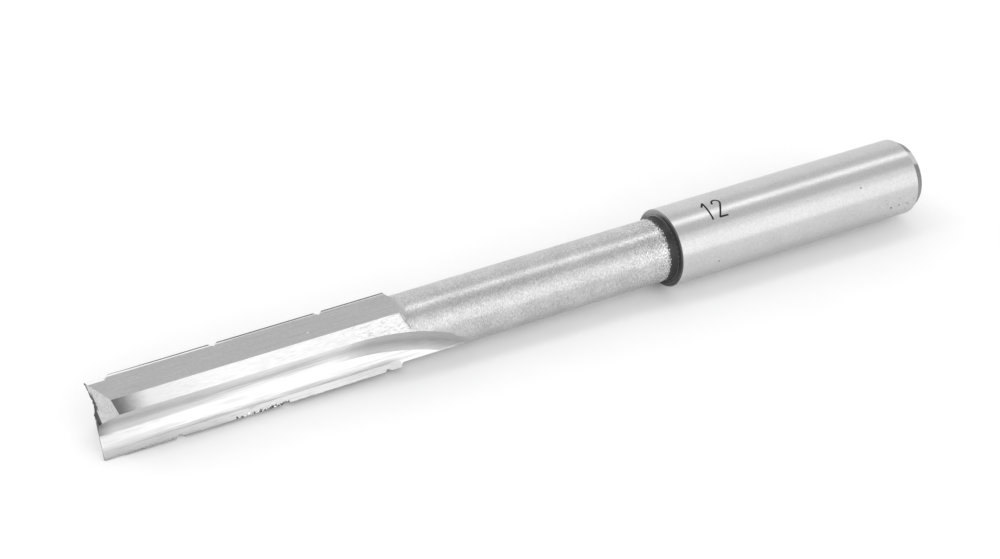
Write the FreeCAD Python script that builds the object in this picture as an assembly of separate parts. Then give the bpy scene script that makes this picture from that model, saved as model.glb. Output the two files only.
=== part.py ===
import FreeCAD, Part
import math
import os
from FreeCAD import Vector

# Slot mortising bit, ground from one bar of tool steel.
# The axis lies along X, the tip points towards -X, and the origin is the
# centre of the shank's end face. The bit lies with its upper clearance flat
# level, as it comes to rest on a table. Millimetres and degrees.

# Turned blank
SHANK_DIAMETER = 13.0
SHANK_LENGTH = 50.0
SHANK_END_CHAMFER = 1.5
SHANK_END_CHAMFER_ANGLE = 30.0
SHOULDER_CHAMFER = 0.2
NECK_DIAMETER = 10.5
NECK_LENGTH = 50.0
NECK_CORNER_RADIUS = 0.4

# Two cutting edges, half a turn apart
CUTTING_DIAMETER = 12.0
CUTTING_LENGTH = 50.0
EDGE_COUNT = 2
STEP_RADIUS = 0.8
RIM_HALF_WIDTH = 1.6

# Behind each edge: narrow land, clearance flat, heel flat
LAND_WIDTH = 0.3
LAND_ANGLE = 12.0
CLEARANCE_ANGLE = 41.0
CLEARANCE_RUNOUT_RADIUS = 1.7
HEEL_ANGLE = 73.5
HEEL_DISTANCE = 4.8
HEEL_END_ANGLE = 15.3
HEEL_END_SETBACK = 0.3

# Gullet, ground by a disc wheel whose side makes the rake face and whose
# rim makes the wall
WEB_THICKNESS = 1.7
WALL_ANGLE = 11.0
GULLET_CORNER_RADIUS = 1.3
FLOOR_ANGLE = 6.0
RAKE_FACET_ANGLE = 19.0
RAKE_FACET_WIDTH = 1.2
WHEEL_RADIUS = 50.0
WHEEL_STOP = 41.0

# Chip breaker notches, staggered from one edge to the other
NOTCH_DEPTH = 0.5
NOTCH_WIDTH = 1.5
NOTCH_PITCH = 17.7
NOTCH_START = 3.2
NOTCHES_PER_EDGE = 3
NOTCH_STAGGER = 9.0

# End cutting edges
DISH_ANGLE = 5.5
END_LAND_WIDTH = 0.55
END_LAND_ANGLE = 8.0
END_RELIEF_ANGLE = 24.0
END_SPLIT_SLOPE = 0.5
CORNER_WEAR = 0.25

# How far the grinding tools overshoot the steel
OVERSHOOT = 4.0

# Turns and shares of a turn
FULL_TURN = 360.0
QUARTER_TURN = 90.0
EIGHTH_TURN = 45.0

SHANK_RADIUS = SHANK_DIAMETER / 2.0
NECK_RADIUS = NECK_DIAMETER / 2.0
EDGE_RADIUS = CUTTING_DIAMETER / 2.0
SHOULDER_X = -SHANK_LENGTH
STEP_X = SHOULDER_X - NECK_LENGTH
TIP_X = STEP_X - CUTTING_LENGTH
CLEAR_RADIUS = max(SHANK_RADIUS, EDGE_RADIUS, NECK_RADIUS) + OVERSHOOT

AXIS_POINT = Vector(0, 0, 0)
AXIS = Vector(1, 0, 0)


def sine(angle):
    return math.sin(math.radians(angle))


def cosine(angle):
    return math.cos(math.radians(angle))


def tangent(angle):
    return math.tan(math.radians(angle))


def place(x, u, v):
    """A point of the bit while its first edge points up: u runs from the
    axis to that edge, v runs square to it, towards the heel."""
    return Vector(x, -v, u)


def direction(u, v):
    return place(0, u, v)


def solid_of(face, travel):
    return face.extrude(travel)


def flat_face(points):
    return Part.Face(Part.makePolygon(points + [points[0]]))


def concave_arc(start, middle, end):
    return Part.Arc(start, middle, end).toShape()


def line(start, end):
    return Part.LineSegment(start, end).toShape()


def turn(shape, angle):
    """A copy of the shape, turned about the bit's axis."""
    turned = shape.copy()
    turned.rotate(AXIS_POINT, AXIS, angle)
    return turned


def per_edge(shape):
    """The shape's copies for all cutting edges."""
    return [turn(shape, FULL_TURN * index / EDGE_COUNT) for index in range(EDGE_COUNT)]


def revolved(edges):
    return Part.Face(Part.Wire(edges)).revolve(AXIS_POINT, AXIS, FULL_TURN)


def turned_blank():
    """Shank, shoulder and neck; the neck's bar runs on to the tip. The seam
    of its round faces is turned so that it ends up along the top."""
    chamfer_depth = SHANK_END_CHAMFER * tangent(SHANK_END_CHAMFER_ANGLE)
    corner_x = SHOULDER_X - NECK_CORNER_RADIUS
    corner_z = NECK_RADIUS + NECK_CORNER_RADIUS
    middle_x = SHOULDER_X - NECK_CORNER_RADIUS * (1 - sine(EIGHTH_TURN))
    middle_z = corner_z - NECK_CORNER_RADIUS * cosine(EIGHTH_TURN)
    tip = Vector(TIP_X, 0, 0)
    neck_start = Vector(TIP_X, 0, NECK_RADIUS)
    corner_start = Vector(corner_x, 0, NECK_RADIUS)
    corner_middle = Vector(middle_x, 0, middle_z)
    corner_end = Vector(SHOULDER_X, 0, corner_z)
    shoulder_rim = Vector(SHOULDER_X, 0, SHANK_RADIUS - SHOULDER_CHAMFER)
    shank_start = Vector(SHOULDER_X + SHOULDER_CHAMFER, 0, SHANK_RADIUS)
    shank_end = Vector(-SHANK_END_CHAMFER, 0, SHANK_RADIUS)
    end_rim = Vector(0, 0, SHANK_RADIUS - chamfer_depth)
    end = Vector(0, 0, 0)
    edges = [
        line(tip, neck_start),
        line(neck_start, corner_start),
        concave_arc(corner_start, corner_middle, corner_end),
        line(corner_end, shoulder_rim),
        line(shoulder_rim, shank_start),
        line(shank_start, shank_end),
        line(shank_end, end_rim),
        line(end_rim, end),
        line(end, tip),
    ]
    return turn(revolved(edges), CLEARANCE_ANGLE)


def edge_rims():
    """The strips that stand out at the cutting diameter, with the concave
    step that brings them down to the neck."""
    rise = EDGE_RADIUS - NECK_RADIUS
    reach = math.sqrt(STEP_RADIUS ** 2 - (STEP_RADIUS - rise) ** 2)
    half_turn = math.asin(reach / STEP_RADIUS) / 2.0
    foot_x = STEP_X + reach
    middle_x = foot_x - STEP_RADIUS * math.sin(half_turn)
    middle_z = NECK_RADIUS + STEP_RADIUS * (1 - math.cos(half_turn))
    tip = Vector(TIP_X, 0, 0)
    rim_start = Vector(TIP_X, 0, EDGE_RADIUS)
    rim_end = Vector(STEP_X, 0, EDGE_RADIUS)
    step_middle = Vector(middle_x, 0, middle_z)
    step_foot = Vector(foot_x, 0, NECK_RADIUS)
    foot_centre = Vector(foot_x, 0, 0)
    edges = [
        line(tip, rim_start),
        line(rim_start, rim_end),
        concave_arc(rim_end, step_middle, step_foot),
        line(step_foot, foot_centre),
        line(foot_centre, tip),
    ]
    strip = Part.makeBox(
        CUTTING_LENGTH + 2 * OVERSHOOT,
        2 * RIM_HALF_WIDTH,
        2 * CLEAR_RADIUS,
        Vector(TIP_X - OVERSHOOT, -RIM_HALF_WIDTH, -CLEAR_RADIUS),
    )
    return revolved(edges).common(strip)


def land_wheel():
    """Grinds the narrow land behind the cutting edge."""
    distance = EDGE_RADIUS * cosine(LAND_ANGLE)
    block = Part.makeBox(
        CUTTING_LENGTH + OVERSHOOT + STEP_RADIUS,
        CLEAR_RADIUS + EDGE_RADIUS * sine(LAND_ANGLE),
        OVERSHOOT,
        Vector(TIP_X - OVERSHOOT, -CLEAR_RADIUS, distance),
    )
    return turn(block, LAND_ANGLE)


def land_end():
    """Where the narrow land ends and the clearance flat starts, as u and v."""
    u = EDGE_RADIUS - LAND_WIDTH * sine(LAND_ANGLE)
    v = LAND_WIDTH * cosine(LAND_ANGLE)
    return u, v


def clearance_distance():
    """From the axis to the clearance flat."""
    u, v = land_end()
    return u * cosine(CLEARANCE_ANGLE) + v * sine(CLEARANCE_ANGLE)


def clearance_wheel():
    """Grinds the clearance flat, and rises out of the neck at its end."""
    distance = clearance_distance()
    radius = CLEARANCE_RUNOUT_RADIUS
    start_x = TIP_X - OVERSHOOT
    low_start = Vector(start_x, -CLEAR_RADIUS, distance)
    low_end = Vector(STEP_X, -CLEAR_RADIUS, distance)
    middle_x = STEP_X + radius * sine(EIGHTH_TURN)
    middle_z = distance + radius * (1 - cosine(EIGHTH_TURN))
    rise_middle = Vector(middle_x, -CLEAR_RADIUS, middle_z)
    rise_end = Vector(STEP_X + radius, -CLEAR_RADIUS, distance + radius)
    high_end = Vector(STEP_X + radius, -CLEAR_RADIUS, CLEAR_RADIUS)
    high_start = Vector(start_x, -CLEAR_RADIUS, CLEAR_RADIUS)
    edges = [
        line(low_start, low_end),
        concave_arc(low_end, rise_middle, rise_end),
        line(rise_end, high_end),
        line(high_end, high_start),
        line(high_start, low_start),
    ]
    wheel = solid_of(Part.Face(Part.Wire(edges)), Vector(0, 2 * CLEAR_RADIUS, 0))
    return turn(wheel, CLEARANCE_ANGLE)


def heel_wheel():
    """Grinds the heel flat, which stops along a slanted line at the neck."""
    middle_x = STEP_X + HEEL_END_SETBACK
    slant = CLEAR_RADIUS * tangent(HEEL_END_ANGLE)
    corners = [
        Vector(TIP_X - OVERSHOOT, CLEAR_RADIUS, HEEL_DISTANCE),
        Vector(TIP_X - OVERSHOOT, -CLEAR_RADIUS, HEEL_DISTANCE),
        Vector(middle_x + slant, -CLEAR_RADIUS, HEEL_DISTANCE),
        Vector(middle_x - slant, CLEAR_RADIUS, HEEL_DISTANCE),
    ]
    wheel = solid_of(flat_face(corners), Vector(0, 0, CLEAR_RADIUS))
    return turn(wheel, HEEL_ANGLE)


def facet_inner_edge():
    """Where the rake facet meets the gullet's floor, as u and v."""
    u = -EDGE_RADIUS + RAKE_FACET_WIDTH * cosine(RAKE_FACET_ANGLE)
    v = -RAKE_FACET_WIDTH * sine(RAKE_FACET_ANGLE)
    return u, v


def gullet_profile(x):
    """The wheel's outline across the gullet: floor, rounded corner, wall."""
    floor_u, floor_v = facet_inner_edge()
    half_web = WEB_THICKNESS / 2.0
    wall_u = -half_web / cosine(WALL_ANGLE)
    lean = tangent(WALL_ANGLE)
    slope = tangent(FLOOR_ANGLE)
    corner_v = (floor_v - slope * (wall_u - floor_u)) / (1 + slope * lean)
    corner_u = wall_u + lean * corner_v
    opening = QUARTER_TURN - WALL_ANGLE + FLOOR_ANGLE
    setback = GULLET_CORNER_RADIUS / tangent(opening / 2.0)
    corner = place(x, corner_u, corner_v)
    along_floor = direction(-cosine(FLOOR_ANGLE), sine(FLOOR_ANGLE))
    along_wall = direction(sine(WALL_ANGLE), cosine(WALL_ANGLE))
    floor_tangent = corner + along_floor * setback
    wall_tangent = corner + along_wall * setback
    inward = (along_floor + along_wall).normalize()
    to_centre = GULLET_CORNER_RADIUS / sine(opening / 2.0)
    arc_middle = corner + inward * (to_centre - GULLET_CORNER_RADIUS)
    far_u = -CLEAR_RADIUS
    far_floor = place(x, far_u, floor_v + slope * (floor_u - far_u))
    wall_top = place(x, wall_u + lean * CLEAR_RADIUS, CLEAR_RADIUS)
    far_top = place(x, far_u, CLEAR_RADIUS)
    edges = [
        line(far_floor, floor_tangent),
        concave_arc(floor_tangent, arc_middle, wall_tangent),
        line(wall_tangent, wall_top),
        line(wall_top, far_top),
        line(far_top, far_floor),
    ]
    return Part.Face(Part.Wire(edges)), corner


def rake_facet_stock():
    """The steel that the gullet leaves along the edge for the rake facet."""
    u, v = facet_inner_edge()
    far_u = -CLEAR_RADIUS
    far_v = v + (u - far_u) * tangent(RAKE_FACET_ANGLE)
    x = TIP_X - OVERSHOOT
    corners = [
        place(x, u, v),
        place(x, far_u, far_v),
        place(x, far_u, -CLEAR_RADIUS),
        place(x, u, -CLEAR_RADIUS),
    ]
    return solid_of(flat_face(corners), Vector(CUTTING_LENGTH + OVERSHOOT, 0, 0))


def gullet_wheels():
    """The gullet's straight run, and the wheel where it stops."""
    stop_x = TIP_X + WHEEL_STOP
    profile, corner = gullet_profile(stop_x)
    stock = rake_facet_stock()
    run = solid_of(profile, Vector(-WHEEL_STOP - OVERSHOOT, 0, 0))
    hub = corner + direction(-cosine(FLOOR_ANGLE), sine(FLOOR_ANGLE)) * WHEEL_RADIUS
    spindle = direction(-sine(FLOOR_ANGLE), -cosine(FLOOR_ANGLE))
    wheel = profile.revolve(hub, spindle, EIGHTH_TURN)
    return run.cut(stock), wheel.cut(stock)


def notch_wheel(x):
    """A vee across the first cutting edge at one place along the bit."""
    depth_u = EDGE_RADIUS - NOTCH_DEPTH
    half_width = NOTCH_WIDTH / 2.0
    flare = half_width * (1 + OVERSHOOT / NOTCH_DEPTH)
    corners = [
        place(x, depth_u, -OVERSHOOT),
        place(x + flare, EDGE_RADIUS + OVERSHOOT, -OVERSHOOT),
        place(x - flare, EDGE_RADIUS + OVERSHOOT, -OVERSHOOT),
    ]
    return solid_of(flat_face(corners), direction(0, 2 * OVERSHOOT))


def notch_wheels():
    """All chip breakers; each edge's row is shifted against the last."""
    wheels = []
    for edge in range(EDGE_COUNT):
        for index in range(NOTCHES_PER_EDGE):
            x = TIP_X + NOTCH_START + index * NOTCH_PITCH + edge * NOTCH_STAGGER
            wheels.append(turn(notch_wheel(x), FULL_TURN * edge / EDGE_COUNT))
    return wheels


def end_wheel(relief_angle, setback):
    """Grinds one tooth's end face; setback is how far behind the end edge
    the face starts to fall faster than the land."""
    dish = tangent(DISH_ANGLE)
    floor = tangent(FLOOR_ANGLE)
    relief = tangent(relief_angle)
    start = setback * tangent(END_LAND_ANGLE)

    def on_face(u, v):
        behind_edge = v - floor * (EDGE_RADIUS - u)
        depth = dish * (EDGE_RADIUS - u) + start + relief * (behind_edge - setback)
        return place(TIP_X + depth, u, v)

    reach = CLEAR_RADIUS
    corners = [
        on_face(reach, -END_SPLIT_SLOPE * reach),
        on_face(reach, reach),
        on_face(-reach, reach),
        on_face(-reach, END_SPLIT_SLOPE * reach),
    ]
    return solid_of(flat_face(corners), Vector(-CLEAR_RADIUS, 0, 0))


def end_wheels():
    return [end_wheel(END_LAND_ANGLE, 0.0), end_wheel(END_RELIEF_ANGLE, END_LAND_WIDTH)]


def worn_corner():
    """Takes off the stretch of one edge that is worn back, from the tip to
    its first notch."""
    return Part.makeBox(
        NOTCH_START + OVERSHOOT,
        2 * RIM_HALF_WIDTH,
        OVERSHOOT,
        Vector(TIP_X - OVERSHOOT, -RIM_HALF_WIDTH, EDGE_RADIUS - CORNER_WEAR),
    )


def mortising_bit():
    bit = turned_blank().fuse(edge_rims())
    for wheel in [land_wheel(), clearance_wheel(), heel_wheel()]:
        bit = bit.cut(per_edge(wheel))
    for wheel in gullet_wheels():
        bit = bit.cut(per_edge(wheel))
    for wheel in end_wheels():
        bit = bit.cut(per_edge(wheel))
    bit = bit.cut(notch_wheels())
    bit = bit.cut(worn_corner())
    bit = turn(bit.removeSplitter(), -CLEARANCE_ANGLE)
    return bit.Solids[0]


os.makedirs("parts", exist_ok=True)
mortising_bit().exportStep("parts/mortising_bit.step")
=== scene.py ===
"""The finish of a slot mortising bit: ground steel, size mark, pits and chips.

Metres, in the frame of the solid: the bit's axis lies along X with the tip
towards -X, and the origin is the centre of the shank's end face. Places round
the axis are angles from the first cutting edge, counted towards its heel.
"""

import bmesh
import bpy
import math
from math import cos, radians, sin
from mathutils import Euler, Matrix, Vector


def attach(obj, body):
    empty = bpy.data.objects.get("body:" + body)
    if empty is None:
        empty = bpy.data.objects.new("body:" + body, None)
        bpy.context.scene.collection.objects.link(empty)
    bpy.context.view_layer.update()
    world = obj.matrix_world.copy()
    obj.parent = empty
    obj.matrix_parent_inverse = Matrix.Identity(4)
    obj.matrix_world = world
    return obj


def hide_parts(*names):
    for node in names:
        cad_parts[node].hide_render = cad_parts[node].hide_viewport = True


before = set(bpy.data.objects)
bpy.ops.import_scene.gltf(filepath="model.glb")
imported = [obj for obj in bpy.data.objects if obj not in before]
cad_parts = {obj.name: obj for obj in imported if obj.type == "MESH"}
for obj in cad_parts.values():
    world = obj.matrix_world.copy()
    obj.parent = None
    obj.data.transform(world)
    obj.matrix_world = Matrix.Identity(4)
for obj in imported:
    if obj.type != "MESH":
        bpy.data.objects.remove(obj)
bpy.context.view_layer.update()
NODE = "mortising_bit"
MM = 0.001

# The bit's own sizes
SHANK_RADIUS = 6.5 * MM
SHANK_LENGTH = 50 * MM
SHANK_END_CHAMFER = 1.5 * MM
NECK_RADIUS = 5.25 * MM
NECK_LENGTH = 50 * MM
NECK_CORNER_RADIUS = 0.4 * MM
EDGE_RADIUS = 6 * MM
CUTTING_LENGTH = 50 * MM
LAND_WIDTH = 0.3 * MM
LAND_ANGLE = radians(12)
CLEARANCE_ANGLE = radians(41)
HEEL_ANGLE = radians(73.5)
HEEL_DISTANCE = 4.8 * MM
HALF_WEB = 0.85 * MM
WALL_ANGLE = radians(11)
FLOOR_ANGLE = radians(6)
RAKE_FACET_ANGLE = radians(19)
RAKE_FACET_WIDTH = 1.2 * MM
FIRST_NOTCH = 3.2 * MM
DISH_ANGLE = radians(5.5)
END_LAND_ANGLE = radians(8)

SHOULDER_X = -SHANK_LENGTH
STEP_X = SHOULDER_X - NECK_LENGTH
TIP_X = STEP_X - CUTTING_LENGTH
FULL_TURN = 2 * math.pi
HALF_TURN = math.pi
QUARTER_TURN = math.pi / 2

# How close a face lies to the flat that it belongs to
SAME_ANGLE = radians(1.5)
SAME_PLACE = 0.02 * MM

# How near the clearance flat's angle the slopes face in which the flats end
LIKE_ANGLE = radians(38)

# Least share of a face's normal that points along the bit: on the shank's end
# face, on the faces of the tip, and on the slopes behind the flats
SHANK_END_TURN = 0.95
TIP_TURN = 0.6
SLOPE_TURN = 0.03

# Largest fall of an end land, against the way that it faces along the bit
END_LAND_FALL = 0.3

# Least share of the neck's radius at which a face lies on the neck, or on the
# rim that is left of the bar between the flats
ON_NECK = 0.98
ON_RIM = 0.96

# Where surfaces stop or start along the bit
SHANK_START_X = SHOULDER_X + 0.3 * MM
SHOULDER_FOOT_X = SHOULDER_X - 0.1 * NECK_CORNER_RADIUS
NECK_START_X = STEP_X + 2 * MM
SLOPE_START_X = STEP_X - 1.5 * MM
END_STOP_X = TIP_X + 8 * MM

# Edges sharper than this show as creases
CREASE_ANGLE = radians(25)

# How much of a normal may point along the bit on its round faces
ROUND_LEAN = 0.02

# The size mark: its upper left corner on the shank, and its strokes
MARK_X = -43.04 * MM
MARK_ANGLE = radians(37.7)
STROKE_WIDTH = 0.33 * MM
STROKE_DEPTH = 0.08 * MM
STROKE_PIECE = 0.4 * MM

# Single dents: place along the bit, angle, distance from the axis, radius,
# and the steel inside. Each is a ball, raised by a share of its radius.
DENT_RISE = 0.3
DENTS = [
    (-13.22 * MM, radians(88.8), SHANK_RADIUS, 0.16 * MM, "pit"),
    (-6.99 * MM, radians(136.1), SHANK_RADIUS, 0.20 * MM, "pit"),
    (-5.31 * MM, radians(135.0), SHANK_RADIUS, 0.17 * MM, "pit"),
    (-3.55 * MM, radians(136.1), SHANK_RADIUS, 0.14 * MM, "pit"),
    (-42.6 * MM, radians(134.5), SHANK_RADIUS, 0.16 * MM, "pit"),
    (-114.98 * MM, CLEARANCE_ANGLE, 4.67 * MM, 0.16 * MM, "flake"),
]

# The photograph's view
CAMERA_PLACE = Vector((-0.27363, -0.27209, 0.26384))
CAMERA_TURN = Euler((radians(51.846), radians(-5.286), radians(-31.173)))
CAMERA_LENS = 97.2
CAMERA_SENSOR = 36.0

# The room round the bit, and the lamps that lie along it: name, brightness,
# the two angles between which each lies, counted from straight above towards
# the far side, and distance
ROOM_GREY = 0.77
STRIP_LAMPS = [
    ("strip_above", 1.3, radians(4.5), radians(17), 0.7),
    ("box_behind", 0.27, radians(46), radians(90), 0.9),
    ("box_in_front", 0.52, radians(-88), radians(-30), 0.9),
    ("low_box_in_front", 0.38, radians(-88), radians(-48), 0.95),
]
STRIP_LENGTH = 1.9
KEY_DIRECTION = Vector((-0.6, 0.45, 0.66))


def section(vector):
    """The vector's parts square to the axis: towards the first edge, and
    towards that edge's heel."""
    u = vector.y * sin(CLEARANCE_ANGLE) + vector.z * cos(CLEARANCE_ANGLE)
    v = vector.z * sin(CLEARANCE_ANGLE) - vector.y * cos(CLEARANCE_ANGLE)
    return u, v


def section_place(x, u, v):
    """The point with those parts square to the axis."""
    y = u * sin(CLEARANCE_ANGLE) - v * cos(CLEARANCE_ANGLE)
    z = u * cos(CLEARANCE_ANGLE) + v * sin(CLEARANCE_ANGLE)
    return Vector((x, y, z))


def round_place(x, angle, radius):
    """The point at that angle from the first edge."""
    return section_place(x, radius * cos(angle), radius * sin(angle))


def ground_flats():
    """The flats along the bit: each one's name, the angle that it faces, and
    its distance from the axis."""
    land_u = EDGE_RADIUS - LAND_WIDTH * sin(LAND_ANGLE)
    land_v = LAND_WIDTH * cos(LAND_ANGLE)
    clearance = land_u * cos(CLEARANCE_ANGLE) + land_v * sin(CLEARANCE_ANGLE)
    floor_u = -EDGE_RADIUS + RAKE_FACET_WIDTH * cos(RAKE_FACET_ANGLE)
    floor_v = -RAKE_FACET_WIDTH * sin(RAKE_FACET_ANGLE)
    floor = floor_u * sin(FLOOR_ANGLE) + floor_v * cos(FLOOR_ANGLE)
    return [
        ("land", LAND_ANGLE, EDGE_RADIUS * cos(LAND_ANGLE)),
        ("clearance", CLEARANCE_ANGLE, clearance),
        ("heel", HEEL_ANGLE, HEEL_DISTANCE),
        ("rake", QUARTER_TURN - RAKE_FACET_ANGLE, -EDGE_RADIUS * sin(RAKE_FACET_ANGLE)),
        ("floor", QUARTER_TURN - FLOOR_ANGLE, floor),
        ("wall", HALF_TURN - WALL_ANGLE, HALF_WEB),
    ]


FLATS = ground_flats()


def flat_of(place, normal):
    """The name of the flat that a face lies on, or None."""
    u, v = section(place)
    normal_u, normal_v = section(normal)
    for side in (1, -1):
        facing = math.atan2(side * normal_v, side * normal_u)
        for name, angle, distance in FLATS:
            away = side * (u * cos(angle) + v * sin(angle)) - distance
            if abs(facing - angle) < SAME_ANGLE and abs(away) < SAME_PLACE:
                return name
    return None


def rises_behind(normal):
    """Whether a face is part of the slopes in which the clearance and heel
    flats end."""
    normal_u, normal_v = section(normal)
    for side in (1, -1):
        facing = math.atan2(side * normal_v, side * normal_u)
        if abs(facing - CLEARANCE_ANGLE) < LIKE_ANGLE and normal.x < -SLOPE_TURN:
            return True
    return False


def zone_of(face):
    """The name of the ground surface that a face of the bit belongs to."""
    place = face.calc_center_median()
    normal = face.normal
    radius = math.hypot(place.y, place.z)
    if place.x > -SHANK_END_CHAMFER:
        return "shank_end" if normal.x > SHANK_END_TURN else "chamfer"
    if place.x > SHANK_START_X:
        return "shank"
    if place.x > SHOULDER_FOOT_X:
        return "shoulder"
    if normal.x < -TIP_TURN and place.x < END_STOP_X:
        _, fall = section(normal)
        return "end_land" if abs(fall / normal.x) < END_LAND_FALL else "end"
    flat = flat_of(place, normal)
    if flat:
        return flat
    if place.x > NECK_START_X and radius > ON_NECK * NECK_RADIUS:
        return "neck"
    if place.x > SLOPE_START_X and rises_behind(normal):
        return "rise"
    if radius > ON_RIM * NECK_RADIUS:
        return "rim"
    return "gullet"


def socket_set(tree, socket, value):
    """Links a socket to the input, or sets a plain value there."""
    if isinstance(value, bpy.types.NodeSocket):
        tree.links.new(value, socket)
    else:
        socket.default_value = value


def add(tree, kind, inputs=None, **settings):
    """A new node, with its settings made and its inputs filled."""
    node = tree.nodes.new(kind)
    for name, value in settings.items():
        setattr(node, name, value)
    for key, value in (inputs or {}).items():
        socket_set(tree, node.inputs[key], value)
    return node


def math_node(tree, operation, first, second=0.0, clamp=False):
    node = add(tree, "ShaderNodeMath", {0: first, 1: second}, operation=operation)
    node.use_clamp = clamp
    return node.outputs[0]


def between(tree, value, low, high, to_low=0.0, to_high=1.0, smooth=True):
    """The value carried from one span of numbers to another, clamped."""
    node = add(
        tree,
        "ShaderNodeMapRange",
        {"Value": value, "From Min": low, "From Max": high, "To Min": to_low, "To Max": to_high},
        interpolation_type="SMOOTHSTEP" if smooth else "LINEAR",
    )
    return node.outputs["Result"]


def mix_colour(tree, share, first, second):
    node = add(tree, "ShaderNodeMix", data_type="RGBA")
    socket_set(tree, node.inputs["Factor"], share)
    socket_set(tree, node.inputs[6], first)
    socket_set(tree, node.inputs[7], second)
    return node.outputs[2]


def grey(level):
    return (level, level, level, 1.0)


FLOAT = "NodeSocketFloat"
VECTOR = "NodeSocketVector"
COLOUR = "NodeSocketColor"
SHADER_TREE = "ShaderNodeTree"
MESH_TREE = "GeometryNodeTree"


def new_group(name, inputs, outputs, kind=SHADER_TREE):
    """An empty node group; inputs and outputs are (name, kind, value)."""
    tree = bpy.data.node_groups.new(name, kind)
    for title, socket_kind, value in inputs:
        socket = tree.interface.new_socket(title, in_out="INPUT", socket_type=socket_kind)
        if value is not None:
            socket.default_value = value
    for title, socket_kind in outputs:
        tree.interface.new_socket(title, in_out="OUTPUT", socket_type=socket_kind)
    start = tree.nodes.new("NodeGroupInput").outputs
    end = tree.nodes.new("NodeGroupOutput").inputs
    return tree, start, end


def noise_in(tree, size, detail, roughness=0.55):
    """Noise whose blobs have the given size along X, Y and Z."""
    place = add(tree, "ShaderNodeTexCoord").outputs["Object"]
    stretched = add(tree, "ShaderNodeVectorMath", {0: place, 1: size}, operation="DIVIDE")
    values = {"Vector": stretched.outputs[0], "Scale": 1.0, "Detail": detail, "Roughness": roughness}
    return add(tree, "ShaderNodeTexNoise", values).outputs["Fac"]


def make_grinding():
    """Marks of a grinding wheel: lines of a given size along X, Y and Z, laid
    over soft patches. Gives a tone, a roughness and a height."""
    tree, start, end = new_group(
        "grinding",
        [
            ("Bright", COLOUR, grey(0.7)),
            ("Dull", COLOUR, grey(0.5)),
            ("Mark Size", VECTOR, (0.0001, 0.001, 0.001)),
            ("Patch Size", VECTOR, (0.006, 0.006, 0.006)),
            ("Line Contrast", FLOAT, 1.0),
            ("Patch Contrast", FLOAT, 0.4),
            ("Smooth", FLOAT, 0.2),
            ("Rough", FLOAT, 0.4),
        ],
        [("Tone", COLOUR), ("Roughness", FLOAT), ("Height", FLOAT)],
    )
    lines = noise_in(tree, start["Mark Size"], 3.0, 0.6)
    patches = noise_in(tree, start["Patch Size"], 4.0)
    from_lines = math_node(tree, "SUBTRACT", lines, 0.5)
    from_patches = math_node(tree, "SUBTRACT", patches, 0.5)
    line_part = math_node(tree, "MULTIPLY", from_lines, start["Line Contrast"])
    patch_part = math_node(tree, "MULTIPLY", from_patches, start["Patch Contrast"])
    both = math_node(tree, "ADD", line_part, patch_part)
    share = math_node(tree, "ADD", both, 0.5, clamp=True)
    tone = mix_colour(tree, share, start["Dull"], start["Bright"])
    rough = between(tree, share, 0.0, 1.0, start["Rough"], start["Smooth"], smooth=False)
    tree.links.new(tone, end["Tone"])
    tree.links.new(rough, end["Roughness"])
    tree.links.new(lines, end["Height"])
    return tree


def make_streaks():
    """Stretched flecks, as a mask: 0 where the noise is at Low and 1 where it is
    at High, whichever of the two is larger."""
    tree, start, end = new_group(
        "streaks",
        [("Size", VECTOR, (0.01, 0.001, 0.001)), ("Low", FLOAT, 0.55), ("High", FLOAT, 0.7)],
        [("Mask", FLOAT)],
    )
    noise = noise_in(tree, start["Size"], 3.0)
    tree.links.new(between(tree, noise, start["Low"], start["High"]), end["Mask"])
    return tree


def make_specks():
    """Small scattered spots, as a mask."""
    tree, start, end = new_group(
        "specks",
        [("Spacing", FLOAT, 0.002), ("Spot Size", FLOAT, 0.1), ("Share", FLOAT, 0.3)],
        [("Mask", FLOAT)],
    )
    place = add(tree, "ShaderNodeTexCoord").outputs["Object"]
    scale = math_node(tree, "DIVIDE", 1.0, start["Spacing"])
    cells = add(tree, "ShaderNodeTexVoronoi", {"Vector": place, "Scale": scale, "Randomness": 1.0})
    finer, raggedness, soft_edge = 6.0, 0.1, 1.6
    fine_scale = math_node(tree, "MULTIPLY", scale, finer)
    values = {"Vector": place, "Scale": fine_scale, "Detail": 2.0}
    ragged = add(tree, "ShaderNodeTexNoise", values).outputs["Fac"]
    shift = math_node(tree, "MULTIPLY", ragged, raggedness)
    reach = math_node(tree, "ADD", cells.outputs["Distance"], shift)
    edge = math_node(tree, "MULTIPLY", start["Spot Size"], soft_edge)
    spot = between(tree, reach, start["Spot Size"], edge, 1.0, 0.0)
    chosen_by = add(tree, "ShaderNodeSeparateColor", {0: cells.outputs["Color"]}).outputs[0]
    chosen = math_node(tree, "LESS_THAN", chosen_by, start["Share"])
    tree.links.new(math_node(tree, "MULTIPLY", spot, chosen), end["Mask"])
    return tree


def make_ragged_step():
    """A mask that rises from 0 to 1 between two values of a coordinate, with
    a ragged border."""
    tree, start, end = new_group(
        "ragged_step",
        [
            ("Along", FLOAT, 0.0),
            ("From", FLOAT, 0.0),
            ("To", FLOAT, 0.001),
            ("Raggedness", FLOAT, 0.0003),
            ("Grain", VECTOR, (0.0003, 0.0003, 0.0003)),
        ],
        [("Mask", FLOAT)],
    )
    noise = noise_in(tree, start["Grain"], 4.0)
    shift = math_node(tree, "MULTIPLY", math_node(tree, "SUBTRACT", noise, 0.5), start["Raggedness"])
    moved = math_node(tree, "ADD", start["Along"], shift)
    tree.links.new(between(tree, moved, start["From"], start["To"]), end["Mask"])
    return tree


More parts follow.
